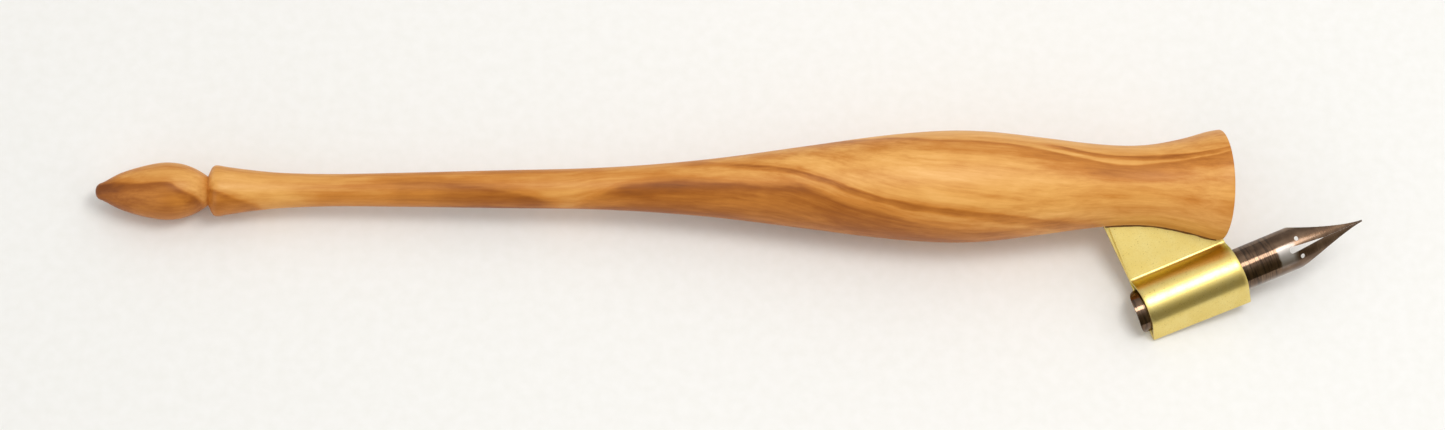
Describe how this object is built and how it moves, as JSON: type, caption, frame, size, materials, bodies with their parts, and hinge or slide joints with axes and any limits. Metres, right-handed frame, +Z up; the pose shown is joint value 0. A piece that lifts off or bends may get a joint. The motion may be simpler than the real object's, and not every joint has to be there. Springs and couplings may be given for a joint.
{
  "type": "oblique dip pen holder",
  "caption": "Oblique dip pen: turned wooden holder with a bud-shaped tail end, a folded brass flange let into its flared front, and a pointed steel nib gripped at an angle to the axis.",
  "frame": {"origin": "middle of the underside of the whole pen's box, on the surface that the pen lies on", "axes": "+X along the pen towards the nib, +Z up as the pen lies at rest on its bud, its swell and the flange's outer corner"},
  "size_m": [0.1536, 0.0244, 0.0148],
  "materials": {
    "olive_wood": "turned, fine-sanded and oiled, low sheen",
    "satin_brass": "satin sheet brass, unlacquered",
    "brown_glue": "hardened epoxy tinted with wood dust",
    "bronzed_steel": "heat-bronzed spring steel, fine cross-ground, worn bright towards the blade"
  },
  "bodies": {
    "pen": {"holder": "olive_wood", "flange": "satin_brass", "flange_glue": "brown_glue"},
    "nib": {"nib": "bronzed_steel"}
  },
  "joints": [
    {"name": "nib_slide", "type": "slide", "parent": "pen", "child": "nib", "axis": [0.9245, 0.3368, 0.1784], "range_m": [-0.002, 0.012]}
  ]
}
